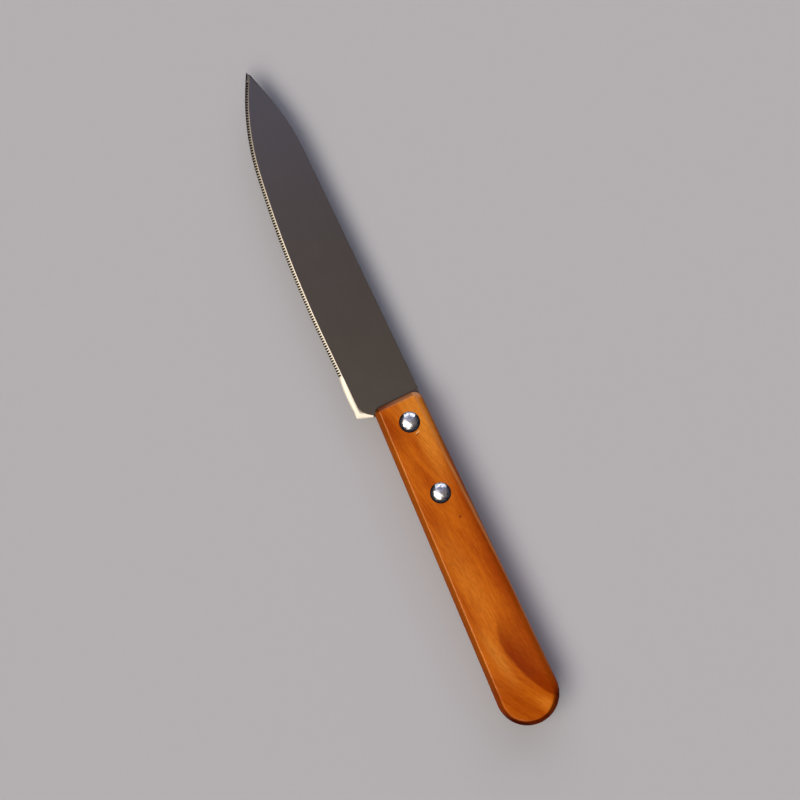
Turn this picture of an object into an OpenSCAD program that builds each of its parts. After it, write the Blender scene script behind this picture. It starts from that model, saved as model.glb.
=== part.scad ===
// Steak knife: a fine-toothed steel blade whose tang sits in the saw slot of a
// one-piece wooden handle, held by two domed two-piece rivets.
//
// It lies on its side. +X runs from the tip to the butt, +Y from the cutting
// edge to the spine, +Z up through the side of the handle. The origin is under
// the middle of the knife, level with the lower rivet domes. Millimetres.

/* [Blade] */
// Length of the blade, from the tip to the front of the handle
blade_len = 111; // [100:1:130]
// Thickness of the blade
blade_t = 1.2; // [0.9:0.1:1.6]
// Height of the blade from the spine to the points of the teeth
toothed_h = 20.7; // [18:0.1:24]
// How far the tip lies below the line of the spine
tip_drop = 5.8; // [3:0.1:8]
// Length over which the spine curves down to the tip
point_len = 30; // [20:1:45]
// Length of the rounder curve of the edge behind the tip
nose_len = 30; // [24:1:36]
// How much the edge rises before that rounder curve begins
belly_rise = 4.1; // [2:0.1:6]
// Length of the straight toothed stretch in front of the heel
straight_len = 11; // [4:1:16]

/* [Heel] */
// Length of the plain edge at the heel, which has no teeth
heel_len = 14; // [8:1:18]
// How far the plain edge bulges below the points of the teeth
heel_bulge = 0.55; // [0.2:0.05:1.2]
// Where the bulge is deepest, measured forward from the heel's corner
heel_low = 5; // [3:0.5:6]
// How far behind the handle's front the heel's corner lies
heel_set = 0.2; // [0:0.1:1]

/* [Cutting edge] */
// Width of the ground bevel, measured in from the points of the teeth
bevel_w = 1.25; // [1:0.05:1.8]
// Thickness left at the cutting edge
edge_t = 0.12; // [0.05:0.01:0.3]
// Distance from tooth to tooth
tooth_pitch = 0.84; // [0.8:0.02:1.6]
// Depth of the notch between two teeth
notch_h = 0.8; // [0.4:0.05:0.9]
// Width of a notch at its mouth
notch_w = 0.6; // [0.4:0.02:0.7]
// Width of a notch at its root
root_w = 0.14; // [0.08:0.02:0.3]
// Length of the plain edge at the tip, which has no teeth
tip_plain = 2.5; // [2:0.1:5]

/* [Tang] */
// How far the tang runs on behind the rear rivet
tang_tail = 8.4; // [5:0.1:15]
// How much thinner the tang is ground on each side
tang_relief = 0.05; // [0.02:0.01:0.1]
// How far the tang's edges lie below the sides of the handle
tang_inset = 0.3; // [0.1:0.1:1]
// Radius of the tang's rear corners
tang_r = 4; // [2:0.5:5]

/* [Handle] */
// Length of the handle
handle_len = 108.5; // [90:0.5:130]
// Thickness of the handle
handle_t = 10; // [8:0.5:14]
// Width of the handle at its front
front_w = 15.6; // [14:0.1:18]
// Width of the handle at its butt, which is a half round
butt_w = 19.7; // [18:0.1:24]
// How far the back of the handle falls from the spine line to the butt
back_fall = 0.4; // [0:0.1:2]
// Radius of the front corner at the back, seen from the side
back_r = 2.8; // [2.1:0.1:3.5]
// Radius of the front corner at the belly, seen from the side
belly_corner_r = 2.2; // [2.1:0.1:3]
// Radius of the rounded edges all around
edge_r = 2; // [1:0.1:2]

/* [Saw slot] */
// Clearance between the tang and each wall of the slot
slot_gap = 0.05; // [0.02:0.01:0.1]
// Clearance between the end of the tang and the end of the slot
slot_end_gap = 0.8; // [0.3:0.1:2]
// Clearance between the blade's shoulder and the front of the handle
shoulder_gap = 0.1; // [0.05:0.05:0.3]

/* [Rivets] */
// Diameter of the domed heads
head_d = 6.4; // [6:0.1:8]
// Height of the domes above the wood
dome_h = 1.3; // [0.8:0.1:1.6]
// Depth of the counterbores that the heads are seated in
seat_h = 0.9; // [0.5:0.1:1.5]
// Outer diameter of the hollow shank
shank_d = 4.2; // [3.8:0.1:4.6]
// Diameter of the solid shank that is driven into it
post_d = 3; // [2.4:0.1:3]
// Distance from the handle's front to the front rivet
front_rivet_x = 8; // [7:0.5:12]
// Distance from the spine line to the front rivet
front_rivet_y = 6.9; // [6:0.1:8]
// Distance from the front rivet to the rear rivet
rivet_spacing = 23.6; // [18:0.1:25]
// Distance from the spine line to the rear rivet
rear_rivet_y = 7.7; // [6:0.1:9]
// Clearance around each head in its counterbore
head_gap = 0.05; // [0.02:0.01:0.2]
// Clearance around each shank in the wood and the tang
shank_gap = 0.05; // [0.02:0.01:0.2]
// Clearance around each post in its socket
post_gap = 0.02; // [0.01:0.01:0.05]
// Clearance at the blind end of each shank
shank_end_gap = 0.3; // [0.1:0.1:1]

/* [Hidden] */
$fn = 96;

steel = [0.55, 0.54, 0.53];
wood = [0.72, 0.37, 0.09];
polished_steel = [0.82, 0.82, 0.84];

// Place of the working frame: handle front, spine line, middle of the thickness
front_x = (blade_len - handle_len) / 2;
spine_y = max(toothed_h + heel_bulge, back_fall + butt_w) / 2;
mid_z = handle_t / 2 + dome_h;

// Extra reach of every cut beyond the surface it opens
cut = 1;

// Steps along a curve of the blade, around a corner, and around a whole pad
curve_steps = 16;
corner_steps = 6;
pad_steps = 48;

// Handle, seen from the side: three round corners and the lines that join them
butt_r = butt_w / 2;
top_corner = [back_r, -back_r];
low_corner = [belly_corner_r, belly_corner_r - front_w];
butt_centre = [handle_len - butt_r, -back_fall - butt_r];

function heading(v) = atan2(v.y, v.x);
function spread(corner, r) = asin((butt_r - r) / norm(butt_centre - corner));
back_angle = heading(butt_centre - top_corner) + spread(top_corner, back_r);
belly_angle = heading(butt_centre - low_corner) - spread(low_corner, belly_corner_r);

// Height of the handle's back and belly lines at a distance behind its front
function line_y(corner, offset, angle, x) =
    let (p = corner + offset * [-sin(angle), cos(angle)])
    p.y + (x - p.x) * tan(angle);
function back_y(x) = line_y(top_corner, back_r, back_angle, x);
function belly_y(x) = line_y(low_corner, -belly_corner_r, belly_angle, x);

// Cutting edge: a straight stretch, a long gentle curve, then a rounder nose
teeth_x = heel_set - heel_len;
belly_x = teeth_x - straight_len;
belly_run = blade_len + belly_x - nose_len;
belly_turn = 2 * atan(belly_rise / belly_run);
belly_r = belly_run / sin(belly_turn);
nose_start = [belly_x - belly_run, belly_rise - toothed_h];
tip = [-blade_len, -tip_drop];
nose_chord = tip - nose_start;
nose_end_turn = 2 * atan2(nose_chord.y, -nose_chord.x) - belly_turn;
nose_r = norm(nose_chord) / (2 * sin((nose_end_turn - belly_turn) / 2));

function arc_len(r, angle) = r * angle * PI / 180;
function arc_turn(r, run) = run / r * 180 / PI;
belly_len = arc_len(belly_r, belly_turn);
nose_edge_len = arc_len(nose_r, nose_end_turn - belly_turn);
edge_len = straight_len + belly_len + nose_edge_len;

// Slope of the toothed edge at a distance along it from the heel end
function edge_slope(s) =
    s < straight_len ? 0
    : s < straight_len + belly_len ? arc_turn(belly_r, s - straight_len)
    : belly_turn + arc_turn(nose_r, s - straight_len - belly_len);

// Point of the toothed edge at that distance
function edge_point(s) =
    let (a = edge_slope(s))
    s < straight_len ? [teeth_x - s, -toothed_h]
    : s < straight_len + belly_len
        ? [belly_x - belly_r * sin(a), belly_r * (1 - cos(a)) - toothed_h]
    : nose_start + nose_r * [sin(belly_turn) - sin(a), cos(belly_turn) - cos(a)];

// Direction into the steel, square to the toothed edge
function edge_inward(s) = let (a = edge_slope(s)) [sin(a), cos(a)];

// Half the thickness of the bevel at a depth behind the cutting edge
function bevel_half(depth) =
    (edge_t + (blade_t - edge_t) * depth / bevel_w) / 2;

// A rim station is [outer point, inner point, half thickness at the outer point].
// Where the rim is square, the inner point is the outer point itself.
function square_station(p) = [p, p, blade_t / 2];
function edge_station(s, depth) =
    let (p = edge_point(s))
    let (inward = edge_inward(s))
    [p + depth * inward, p + bevel_w * inward, bevel_half(depth)];

// Plain heel: a shallow bulge with its lowest point near the corner
heel_peak = 1 - heel_low / heel_len;
function heel_point(t) =
    [teeth_x + t * heel_len,
     heel_bulge * (pow((t - heel_peak) / heel_peak, 2) - 1) - toothed_h];

// Back edge of the heel, from its corner up to the belly of the handle
shoulder_r = belly_corner_r + shoulder_gap;
heel_corner = heel_point(1);
heel_top = low_corner + [0, -shoulder_r];
heel_rise = heel_top - heel_corner;
heel_inward = [-heel_rise.y, heel_rise.x] / norm(heel_rise);
heel_corner_inward = ([0, 1] + heel_inward) / (1 + heel_inward.y);

// Two bevels meet at the corner, so the stations in front of it keep clear of it
heel_clear = 1 - bevel_w / heel_len;
heel_corner_station =
    [heel_corner, heel_corner + bevel_w * heel_corner_inward, bevel_half(0)];
function heel_station(t) =
    let (p = heel_point(t))
    [p, p + [0, bevel_w], bevel_half(0)];

// Tip: both bevels run out on the line between the spine and the edge
point_r = (point_len * point_len + tip_drop * tip_drop) / (2 * tip_drop);
point_turn = asin(point_len / point_r);
tip_axis = (point_turn - nose_end_turn) / 2;
tip_inward = [cos(tip_axis), sin(tip_axis)];
tip_run = tip_plain / 2;
tip_station = [tip, tip + tip_run * tip_inward, bevel_half(0)];

// The rim in order: heel's corner, plain heel, teeth, tip, spine and shoulder
heel_stations = [
    for (i = [1:curve_steps - 1])
        heel_station(heel_clear * (1 - i / curve_steps))
];

tooth_count = floor((edge_len - tip_plain) / tooth_pitch);
flank_w = (notch_w - root_w) / 2;
tooth_stations = [
    for (i = [0:tooth_count - 1])
        let (s = i * tooth_pitch)
        each [
            edge_station(s, 0),
            edge_station(s + flank_w, notch_h),
            edge_station(s + notch_w - flank_w, notch_h),
            edge_station(s + notch_w, 0)
        ]
];

spine_stations = [
    for (i = [1:curve_steps])
        let (a = point_turn * (1 - i / curve_steps))
        square_station([point_len - blade_len - point_r * sin(a), point_r * (cos(a) - 1)])
];

// The shoulder runs straight down from the spine, then round the handle's corner
shoulder_stations = [
    for (i = [0:corner_steps])
        let (a = 180 + 90 * i / corner_steps)
        square_station(low_corner + shoulder_r * [cos(a), sin(a)])
];

rim = concat(
    [heel_corner_station],
    heel_stations,
    tooth_stations,
    [tip_station],
    spine_stations,
    [square_station([-shoulder_gap, 0])],
    shoulder_stations
);

// Places in the rim of the first tooth and of the shoulder's inner corner
teeth_start = 1 + len(heel_stations);
corner_start = len(rim) - len(shoulder_stations);

// Solid plate with a bevelled rim, lying on the middle plane. Each flat is two
// fans of triangles: the blade, spread from the shoulder's inner corner, and the
// heel, spread from the first tooth.
module rimmed_plate(stations, blade_first, heel_first) {
    n = len(stations);
    half = blade_t / 2;
    points = [
        for (r = stations)
            each [
                [r[0].x, r[0].y, r[2]],
                [r[0].x, r[0].y, -r[2]],
                [r[1].x, r[1].y, half],
                [r[1].x, r[1].y, -half]
            ]
    ];
    // Corner indices of a station: 0 and 1 outside, 2 and 3 inside
    function corner(i, k) =
        let (j = i % n)
        let (is_square = stations[j][0] == stations[j][1])
        4 * j + (is_square ? k % 2 : k);
    function unique(f) =
        [for (k = [0:len(f) - 1]) if (f[k] != f[(k + 1) % len(f)]) f[k]];
    bands = [
        for (i = [0:n - 1])
            each [
                [corner(i + 1, 2), corner(i, 2), corner(i, 0), corner(i + 1, 0)],
                [corner(i + 1, 0), corner(i, 0), corner(i, 1), corner(i + 1, 1)],
                [corner(i + 1, 1), corner(i, 1), corner(i, 3), corner(i + 1, 3)]
            ]
    ];
    function fan(apex, first, last) =
        [for (i = [first:last]) [apex, i, i + 1]];
    flat = concat(
        fan(heel_first, blade_first, heel_first - 2),
        fan(blade_first, heel_first, n + blade_first - 2)
    );
    faces = concat(
        [for (t = flat) [for (k = [0, 1, 2]) corner(t[k], 2)]],
        [for (t = flat) [for (k = [2, 1, 0]) corner(t[k], 3)]],
        [for (f = bands) let (u = unique(f)) if (len(u) > 2) u]
    );
    polyhedron(points = points, faces = faces);
}

// Tang, seen from the side: it starts inside the blade and follows the handle
tang_t = blade_t - 2 * tang_relief;
tang_len = front_rivet_x + rivet_spacing + tang_tail;
tang_root = belly_corner_r;
module tang_outline() {
    back_end = [tang_len - tang_r, back_y(tang_len) - tang_inset - tang_r];
    belly_end = [tang_len - tang_r, belly_y(tang_len) + tang_inset + tang_r];
    polygon(concat(
        [[-tang_root, back_y(-tang_root) - tang_inset]],
        [for (i = [0:corner_steps])
            let (a = 90 - 90 * i / corner_steps)
            back_end + tang_r * [cos(a), sin(a)]],
        [for (i = [0:corner_steps])
            let (a = -90 * i / corner_steps)
            belly_end + tang_r * [cos(a), sin(a)]],
        [
            [belly_corner_r, belly_y(belly_corner_r) + tang_inset],
            [belly_corner_r / 2, -front_w - tang_inset],
            [-tang_root, -front_w]
        ]
    ));
}

// The two places where a rivet goes through handle and tang
front_rivet = [front_rivet_x, -front_rivet_y];
rear_rivet = [front_rivet_x + rivet_spacing, -rear_rivet_y];

module at_rivets() {
    for (p = [front_rivet, rear_rivet])
        translate(p)
            children();
}

module in_frame() {
    translate([front_x, spine_y, mid_z])
        children();
}

module blade() {
    color(steel)
        in_frame()
            difference() {
                union() {
                    rimmed_plate(rim, teeth_start, corner_start);
                    linear_extrude(tang_t, center = true)
                        tang_outline();
                }
                at_rivets()
                    cylinder(d = shank_d + 2 * shank_gap, h = blade_t + 2 * cut, center = true);
            }
}

// Round pad with rounded rims, one at each corner of the handle
module pad(centre, r) {
    flat_r = r - edge_r;
    rim_z = handle_t / 2 - edge_r;
    translate(centre)
        rotate_extrude($fn = pad_steps)
            polygon(concat(
                [[0, -handle_t / 2]],
                [for (i = [0:corner_steps])
                    let (a = 90 * i / corner_steps - 90)
                    [flat_r + edge_r * cos(a), edge_r * sin(a) - rim_z]],
                [for (i = [0:corner_steps])
                    let (a = 90 * i / corner_steps)
                    [flat_r + edge_r * cos(a), edge_r * sin(a) + rim_z]],
                [[0, handle_t / 2]]
            ));
}

seat_z = handle_t / 2 - seat_h;

module handle() {
    slot_t = tang_t + 2 * slot_gap;
    slot_len = tang_len + slot_end_gap;
    color(wood)
        in_frame()
            difference() {
                hull() {
                    pad(top_corner, back_r);
                    pad(low_corner, belly_corner_r);
                    pad(butt_centre, butt_r);
                }
                translate([-cut, -butt_w - back_fall - cut, -slot_t / 2])
                    cube([slot_len + cut, butt_w + back_fall + 2 * cut, slot_t]);
                at_rivets() {
                    cylinder(d = shank_d + 2 * shank_gap, h = handle_t, center = true);
                    for (side = [0, 1])
                        mirror([0, 0, side])
                            translate([0, 0, seat_z])
                                cylinder(d = head_d + 2 * head_gap, h = seat_h + cut);
                }
            }
}

// Rivet head: a disc seated in the wood under a shallow dome
module rivet_head() {
    dome_r = (head_d * head_d / 4 + dome_h * dome_h) / (2 * dome_h);
    intersection() {
        translate([0, 0, seat_z])
            cylinder(d = head_d, h = seat_h + dome_h);
        translate([0, 0, handle_t / 2 + dome_h - dome_r])
            sphere(r = dome_r);
    }
}

// Socket: head on the upper side, with a hollow shank
module rivet_socket(place) {
    shank_h = 2 * seat_z - shank_end_gap;
    color(polished_steel)
        in_frame()
            translate(place)
                difference() {
                    union() {
                        rivet_head();
                        translate([0, 0, seat_z - shank_h])
                            cylinder(d = shank_d, h = shank_h);
                    }
                    translate([0, 0, seat_z - shank_h - cut])
                        cylinder(d = post_d + 2 * post_gap, h = shank_h + cut);
                }
}

// Post: head on the lower side, with a solid shank
module rivet_post(place) {
    post_h = 2 * seat_z - shank_end_gap;
    color(polished_steel)
        in_frame()
            translate(place)
                mirror([0, 0, 1])
                    union() {
                        rivet_head();
                        translate([0, 0, seat_z - post_h])
                            cylinder(d = post_d, h = post_h);
                    }
}

module front_rivet_socket() { rivet_socket(front_rivet); }
module front_rivet_post() { rivet_post(front_rivet); }
module rear_rivet_socket() { rivet_socket(rear_rivet); }
module rear_rivet_post() { rivet_post(rear_rivet); }

blade();
handle();
front_rivet_socket();
front_rivet_post();
rear_rivet_socket();
rear_rivet_post();
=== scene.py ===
# %% [markdown]
# # A steak knife, dressed for its picture
#
# The solid model of this knife is already measured. Here it gets its
# looks: a finely toothed steel blade, an orange varnished wooden handle and two
# polished rivets. Each step first says what the real thing is, then how it is
# made in Blender and why it is made that way.

# %% Load the solid model as a fixed frame
import math

import bmesh
import bpy
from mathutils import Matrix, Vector


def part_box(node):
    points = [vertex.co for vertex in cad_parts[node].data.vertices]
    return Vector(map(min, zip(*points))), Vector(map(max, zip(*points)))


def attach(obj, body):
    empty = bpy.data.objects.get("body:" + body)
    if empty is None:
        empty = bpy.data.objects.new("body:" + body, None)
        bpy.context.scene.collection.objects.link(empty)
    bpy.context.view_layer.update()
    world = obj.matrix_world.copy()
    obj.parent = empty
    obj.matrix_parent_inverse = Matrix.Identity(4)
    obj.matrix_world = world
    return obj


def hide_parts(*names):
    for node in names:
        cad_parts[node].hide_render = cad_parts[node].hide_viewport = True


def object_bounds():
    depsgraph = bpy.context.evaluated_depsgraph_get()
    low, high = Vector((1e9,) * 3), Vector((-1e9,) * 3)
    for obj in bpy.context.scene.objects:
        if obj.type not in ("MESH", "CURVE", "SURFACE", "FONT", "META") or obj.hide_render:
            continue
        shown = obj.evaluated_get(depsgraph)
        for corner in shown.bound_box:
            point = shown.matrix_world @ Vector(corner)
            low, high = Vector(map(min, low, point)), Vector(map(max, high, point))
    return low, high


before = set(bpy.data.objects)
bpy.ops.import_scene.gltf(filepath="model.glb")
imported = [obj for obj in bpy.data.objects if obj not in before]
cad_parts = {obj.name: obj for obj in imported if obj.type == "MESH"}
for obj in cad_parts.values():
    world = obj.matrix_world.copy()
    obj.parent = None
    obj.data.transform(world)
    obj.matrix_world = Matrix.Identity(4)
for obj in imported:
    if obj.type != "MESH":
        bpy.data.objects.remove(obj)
cad_low, cad_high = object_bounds()
print("solid nodes:", ", ".join(sorted(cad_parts)))

# %% [markdown]
# ## The knife's own axes
#
# A cutler measures a knife from the place where blade and handle meet. The same
# is done here: x runs back from the front of the handle, y runs up to the spine
# and z runs up from the middle of the steel. The places come from the loaded
# solids, so the pieces land exactly on them. Giving every piece this origin also
# makes its object coordinates easy to use in a material.

# %% Origin and main sizes from the solids
MM = 0.001
handle_low, handle_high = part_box("handle")
blade_low, blade_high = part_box("blade")
ORIGIN = Vector((handle_low.x, blade_high.y, (handle_low.z + handle_high.z) / 2))
BLADE_LEN = handle_low.x - blade_low.x
BLADE_T = blade_high.z - blade_low.z
HANDLE_LEN = handle_high.x - handle_low.x
HANDLE_T = handle_high.z - handle_low.z
print(f"blade {BLADE_LEN / MM:.1f} mm long, steel {BLADE_T / MM:.2f} mm thick")
print(f"handle {HANDLE_LEN / MM:.1f} mm long, {HANDLE_T / MM:.1f} mm thick")

# %% [markdown]
# ## Turning points into pieces
#
# Blender's own primitives are too plain for any of these shapes, so each piece
# is made from lists of points. The helper below makes an object of them, turns
# the faces outward and shades the gentle curves smooth while it keeps edges that
# are sharper than a given angle. Faces that lie level stay flat, so that a curve
# beside them doesn't tilt their shading.

# %% Helper that makes an object from points and faces
LEVEL = 0.99999


def make_object(name, points, faces, sharp=30.0):
    mesh = bpy.data.meshes.new(name)
    mesh.from_pydata([tuple(p) for p in points], [], faces)
    tidy = bmesh.new()
    tidy.from_mesh(mesh)
    bmesh.ops.recalc_face_normals(tidy, faces=tidy.faces)
    tidy.to_mesh(mesh)
    tidy.free()
    shade(mesh, sharp)
    piece = bpy.data.objects.new(name, mesh)
    piece.location = ORIGIN
    bpy.context.scene.collection.objects.link(piece)
    return piece


def shade(mesh, sharp):
    mesh.shade_smooth()
    mesh.set_sharp_from_angle(angle=math.radians(sharp))
    for face in mesh.polygons:
        face.use_smooth = abs(face.normal.z) < LEVEL


# %% [markdown]
# ## Cutting and joining
#
# The slot in the handle and the rivet holes are drilled and sawn on the real
# knife, so a Boolean modifier does the same here. It is applied at once: what is
# left is a plain mesh, without hidden helper objects in the scene.

# %% Helper that cuts or joins pieces for good
def combine(piece, tools, operation, sharp=30.0):
    for tool in tools:
        cut = piece.modifiers.new(operation.lower(), "BOOLEAN")
        cut.object = tool
        cut.operation = operation
        cut.solver = "EXACT"
    depsgraph = bpy.context.evaluated_depsgraph_get()
    result = bpy.data.meshes.new_from_object(piece.evaluated_get(depsgraph))
    piece.modifiers.clear()
    piece.data = result
    shade(result, sharp)
    for tool in tools:
        bpy.data.objects.remove(tool)


def prism(name, outline, bottom, top):
    n = len(outline)
    points = [(p[0], p[1], z) for z in (bottom, top) for p in outline]
    sides = [(i, (i + 1) % n, n + (i + 1) % n, n + i) for i in range(n)]
    return make_object(name, points, [tuple(range(n)), tuple(range(n, 2 * n))] + sides)


def circle(centre, radius, steps=64):
    turns = [math.tau * i / steps for i in range(steps)]
    return [(centre[0] + radius * math.cos(a), centre[1] + radius * math.sin(a)) for a in turns]


# %% [markdown]
# ## The cutting edge
#
# Seen from the side, the edge is a straight stretch, a long gentle curve and a
# rounder nose that ends at the tip. Those are one line and two arcs that run into
# each other without a kink. Describing them by the distance along the edge lets
# the teeth be set out evenly, as the wheel that cut them did.

# %% The line of the edge
TOOTHED_H = 20.7 * MM
TIP_DROP = 5.8 * MM
NOSE_LEN = 30 * MM
BELLY_RISE = 4.1 * MM
STRAIGHT_LEN = 11 * MM
HEEL_LEN = 14 * MM
HEEL_SET = 0.2 * MM
teeth_x = HEEL_SET - HEEL_LEN
belly_x = teeth_x - STRAIGHT_LEN
belly_run = BLADE_LEN + belly_x - NOSE_LEN
belly_turn = 2 * math.atan(BELLY_RISE / belly_run)
belly_r = belly_run / math.sin(belly_turn)
nose_start = Vector((belly_x - belly_run, BELLY_RISE - TOOTHED_H))
tip = Vector((-BLADE_LEN, -TIP_DROP))
nose_chord = tip - nose_start
nose_turn = 2 * math.atan2(nose_chord.y, -nose_chord.x) - belly_turn
nose_r = nose_chord.length / (2 * math.sin((nose_turn - belly_turn) / 2))
belly_end = STRAIGHT_LEN + belly_r * belly_turn
edge_len = belly_end + nose_r * (nose_turn - belly_turn)


def edge_at(s):
    """Point of the edge at a distance from the heel end, and the way into the steel."""
    if s < STRAIGHT_LEN:
        return Vector((teeth_x - s, -TOOTHED_H)), Vector((0, 1))
    if s < belly_end:
        a = (s - STRAIGHT_LEN) / belly_r
        point = Vector((belly_x - belly_r * math.sin(a), belly_r * (1 - math.cos(a)) - TOOTHED_H))
    else:
        a = belly_turn + (s - belly_end) / nose_r
        bow = Vector((math.sin(belly_turn) - math.sin(a), math.cos(belly_turn) - math.cos(a)))
        point = nose_start + nose_r * bow
    return point, Vector((math.sin(a), math.cos(a)))


print(f"toothed edge {edge_len / MM:.1f} mm along the curve, nose radius {nose_r / MM:.1f} mm")

# %% [markdown]
# ## Slices across the rim
#
# The rim of the blade changes all the way around: ground to an edge below,
# square with a broken corner along the spine. So the blade is made from slices.
# Each slice has the same number of points, from the upper flat over the rim to
# the lower flat, and neighbouring slices are joined by faces. A grinding wheel
# leaves a soft border and not a knife-sharp line, so the bevel starts almost level
# with the flat and gets steeper towards the edge, the more so where it is wide.

# %% Slices for the ground edge and for the square rim
EDGE_T = 0.12 * MM
STEEPEST = 0.47
ROUNDEST = 0.9
GRIND_STEPS = 6
BROKEN = 0.14 * MM
half_t = BLADE_T / 2
full_grind = half_t - EDGE_T / 2


def slice_points(start, inward, profile, middle=0.0):
    """Points over the rim from pairs of depth and height, with the lower half like the upper."""
    upper = [(*(start + u * inward), z) for u, z in profile]
    lower = [(x, y, -z) for x, y, z in reversed(upper)]
    return upper + [(*(start + middle * inward), 0.0)] + lower


def bevel_slice(outer, inward, reach, notch=0.0, middle=0.0, ground=full_grind):
    """A ground slice: the bevel drops by ground over its reach, cut short by a notch."""
    roundness = min(ROUNDEST, STEEPEST * reach / ground - 1)
    profile = []
    for i in range(GRIND_STEPS + 1):
        v = (1 - notch / reach) * i / GRIND_STEPS
        drop = ground * v * (1 - roundness * (1 - v))
        profile.append((reach * (1 - v), half_t - drop))
    return slice_points(outer, inward, profile, middle)


def square_slice(point, inward):
    """An upright rim with a broken corner, of as many points as a ground slice."""
    profile = []
    for i in range(GRIND_STEPS + 1):
        a = math.pi / 2 * i / GRIND_STEPS
        profile.append((BROKEN * (1 - math.sin(a)), half_t - BROKEN * (1 - math.cos(a))))
    return slice_points(point, inward.normalized(), profile)


# %% [markdown]
# ## Teeth
#
# The edge has more than a hundred fine notches. Four slices make one tooth pitch:
# a tooth's corner, the two corners of the notch's root and the next tooth. The
# notches are grooves: seen from the side, their walls slope out from both flats to
# the middle of the steel. They are real geometry, because the teeth make the
# blade's outline and a bump map could not change that. Between the last tooth and
# the tip there are no notches, only a narrow second bevel along the edge.

# %% Slices along the toothed edge and the plain tip
GRIND_W = 1.25 * MM
TOOTH_PITCH = 0.84 * MM
NOTCH_H = 0.96 * MM
NOTCH_W = 0.62 * MM
ROOT_W = 0.4 * MM
GROOVE_END = 0.05 * MM
TIP_PLAIN = 2.5 * MM
TIP_BEVEL_W = 0.4 * MM
TIP_STEPS = 4
flank_w = (NOTCH_W - ROOT_W) / 2
tooth_count = int((edge_len - TIP_PLAIN) / TOOTH_PITCH)
plain_from = tooth_count * TOOTH_PITCH


def edge_slice(s, **cut):
    return bevel_slice(*edge_at(s), **cut)


tooth_slices = []
groove = {"reach": GRIND_W, "notch": NOTCH_H, "middle": GROOVE_END}
for tooth in range(tooth_count):
    s = tooth * TOOTH_PITCH
    tooth_slices += [
        edge_slice(s, reach=GRIND_W),
        edge_slice(s + flank_w, **groove),
        edge_slice(s + NOTCH_W - flank_w, **groove),
        edge_slice(s + NOTCH_W, reach=GRIND_W),
    ]
for i in range(1, TIP_STEPS):
    s = plain_from + (edge_len - plain_from) * i / TIP_STEPS
    tooth_slices.append(edge_slice(s, reach=GRIND_W, notch=TIP_BEVEL_W))
print(f"{tooth_count} teeth, {TOOTH_PITCH / MM:.2f} mm apart")

# %% [markdown]
# ## The plain heel
#
# Behind the teeth the edge is plain and bulges a little. At the heel's corner it
# turns up to the wood, so a second bevel is ground along that back edge. A few
# points and directions describe all of it. They are worked out from the teeth on
# one side and from the rounded corner of the handle on the other.

# %% Heel, back edge and the corner between them
HEEL_BULGE = 0.55 * MM
HEEL_LOW = 5 * MM
BELLY_CORNER_R = 2.2 * MM
SHOULDER_GAP = 0.1 * MM
FRONT_W = 15.6 * MM
heel_peak = 1 - HEEL_LOW / HEEL_LEN


def heel_at(t):
    """Point of the plain edge, from the teeth at 0 to the heel's corner at 1."""
    bulge = HEEL_BULGE * (((t - heel_peak) / heel_peak) ** 2 - 1)
    return Vector((teeth_x + t * HEEL_LEN, bulge - TOOTHED_H))


low_corner = Vector((BELLY_CORNER_R, BELLY_CORNER_R - FRONT_W))
shoulder_r = BELLY_CORNER_R + SHOULDER_GAP
heel_corner = heel_at(1)
heel_top = low_corner + Vector((0, -shoulder_r))
back_edge = (heel_top - heel_corner).normalized()
back_inward = Vector((-back_edge.y, back_edge.x))
corner_inward = (Vector((0, 1)) + back_inward) / (1 + back_inward.y)
teeth_inner = Vector((teeth_x, GRIND_W - TOOTHED_H))
corner_grind = teeth_inner.y - heel_corner.y
heel_inner = heel_corner + corner_grind * corner_inward
print(f"bevel {GRIND_W / MM:.2f} mm wide at the teeth, {corner_grind / MM:.2f} mm at the heel")

# %% [markdown]
# ## Bevels that meet at the heel
#
# Two plain bevels would meet in a sharp line, but on the knife their inner borders
# run into each other in a curve. So the borders are pushed further in near the
# corner, and less and less with the distance from it. The bevel on the back edge
# gets narrow where the wood begins, and it is ground less deep there.

# %% Slices along the heel and its back edge
CORNER_FILL = 0.9 * MM
CORNER_FADE = 3 * MM
HEEL_STEPS = 32
BACK_GRIND_W = 0.45 * MM
BACK_STEPS = 8


def corner_fill(distance):
    """How much further in the bevel's border lies near the corner, so that it bends softly."""
    return CORNER_FILL * max(1 - distance / CORNER_FADE, 0) ** 2


heel_slices = []
for i in range(HEEL_STEPS):
    t = 1 - i / HEEL_STEPS
    fill = corner_fill((1 - t) * HEEL_LEN) * corner_inward.normalized()
    across = teeth_inner.lerp(heel_inner, t) + fill - heel_at(t)
    heel_slices.append(bevel_slice(heel_at(t), across.normalized(), across.length))

back_len = (heel_top - heel_corner).length
back_from = corner_grind * corner_inward.dot(back_edge)
top_inward = (Vector((0, -1)) + back_inward).normalized()
top_reach = BACK_GRIND_W / top_inward.dot(back_inward)
top_grind = BACK_GRIND_W / corner_grind * full_grind
back_slices = [bevel_slice(heel_top, top_inward, top_reach, ground=top_grind)]
for i in range(BACK_STEPS - 1, 0, -1):
    along_back = (back_len - back_from) * i / BACK_STEPS
    width = corner_grind + (BACK_GRIND_W - corner_grind) * i / BACK_STEPS
    ground = full_grind * width / corner_grind
    point = heel_corner + (back_from + along_back) * back_edge
    reach = width + corner_fill(along_back)
    back_slices.append(bevel_slice(point, back_inward, reach, ground=ground))
print(f"{len(heel_slices)} slices along the heel, {len(back_slices)} along its back edge")

# %% [markdown]
# ## Spine and shoulder
#
# The spine is straight and falls to the tip in one long arc. At the other end the
# steel comes down straight in front of the wood and follows the rounded corner of
# the handle. Those rims are square with a broken corner, so they are made of the
# plain kind of slice. Only the slice at the tip is ground, because the edge ends
# there.

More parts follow.
